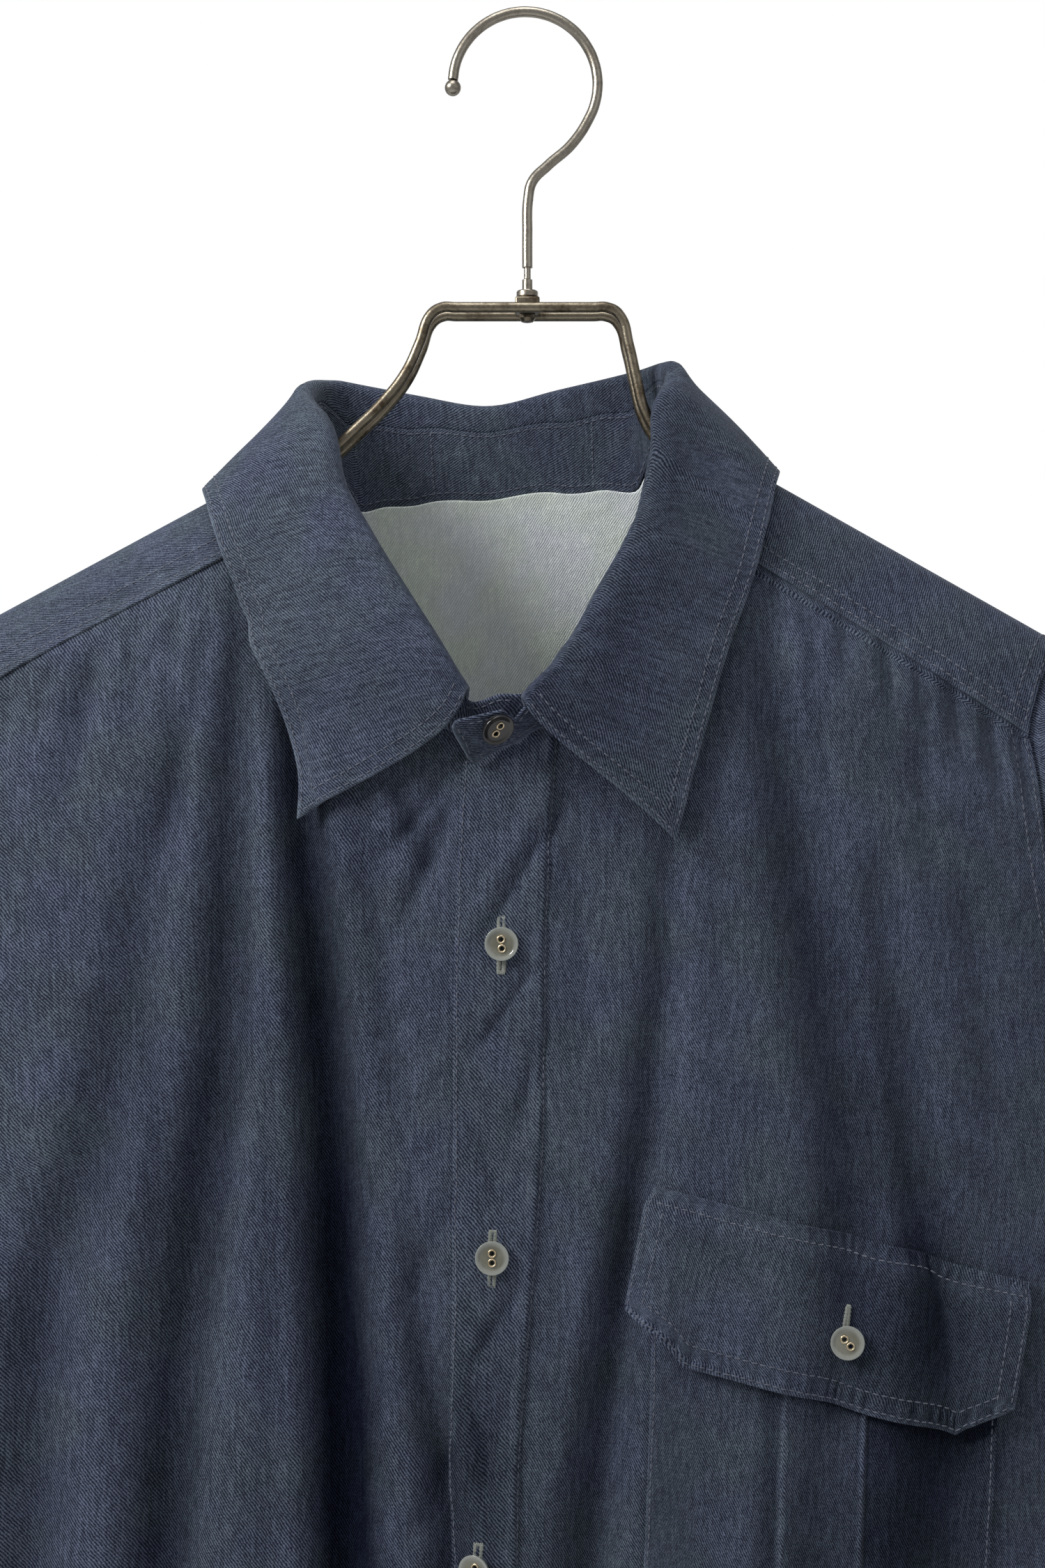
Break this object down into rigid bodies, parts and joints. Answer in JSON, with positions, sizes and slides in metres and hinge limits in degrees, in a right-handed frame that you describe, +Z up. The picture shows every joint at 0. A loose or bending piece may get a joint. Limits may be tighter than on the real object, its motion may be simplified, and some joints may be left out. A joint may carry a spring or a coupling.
{
  "type": "chambray shirt on a wire hanger",
  "caption": "Long-sleeved twill shirt hanging closed on a two-wire metal hanger, with a pointed collar on a stand, a shoulder yoke and a flapped chest pocket.",
  "frame": {"origin": "inside top of the hanger hook's loop, where it rests on a peg or rail", "axes": "+Z up, -Y out of the shirt's front, +X to the wearer's left"},
  "size_m": [0.738, 0.1069, 0.9409],
  "materials": {
    "indigo_twill": "washed twill, matte with a faint grey sheen",
    "indigo_twill_collar": "washed twill in two layers, matte",
    "grey_shell": "pearly, with brass eyelets",
    "dark_shell": "dark brown, with brass eyelets",
    "aged_brass": "aged, brown and dull",
    "worn_nickel": "worn plating over brown metal"
  },
  "bodies": {
    "root": {"back": "indigo_twill", "front_left": "indigo_twill", "front_right": "indigo_twill", "placket": "indigo_twill", "yoke": "indigo_twill", "sleeve_left": "indigo_twill", "sleeve_right": "indigo_twill", "cuff_left": "indigo_twill", "cuff_right": "indigo_twill", "pocket": "indigo_twill", "pocket_flap": "indigo_twill", "collar_stand": "indigo_twill_collar", "collar_fall": "indigo_twill_collar", "button_front_1": "grey_shell", "button_front_2": "grey_shell", "button_front_3": "grey_shell", "button_front_4": "grey_shell", "button_front_5": "grey_shell", "button_flap": "grey_shell", "button_cuff_left": "grey_shell", "button_cuff_right": "grey_shell", "button_stand": "dark_shell", "hanger_frame": "aged_brass", "hanger_block": "aged_brass", "hanger_rivet": "aged_brass", "hanger_hook": "worn_nickel", "hanger_nut": "worn_nickel"}
  },
  "joints": []
}
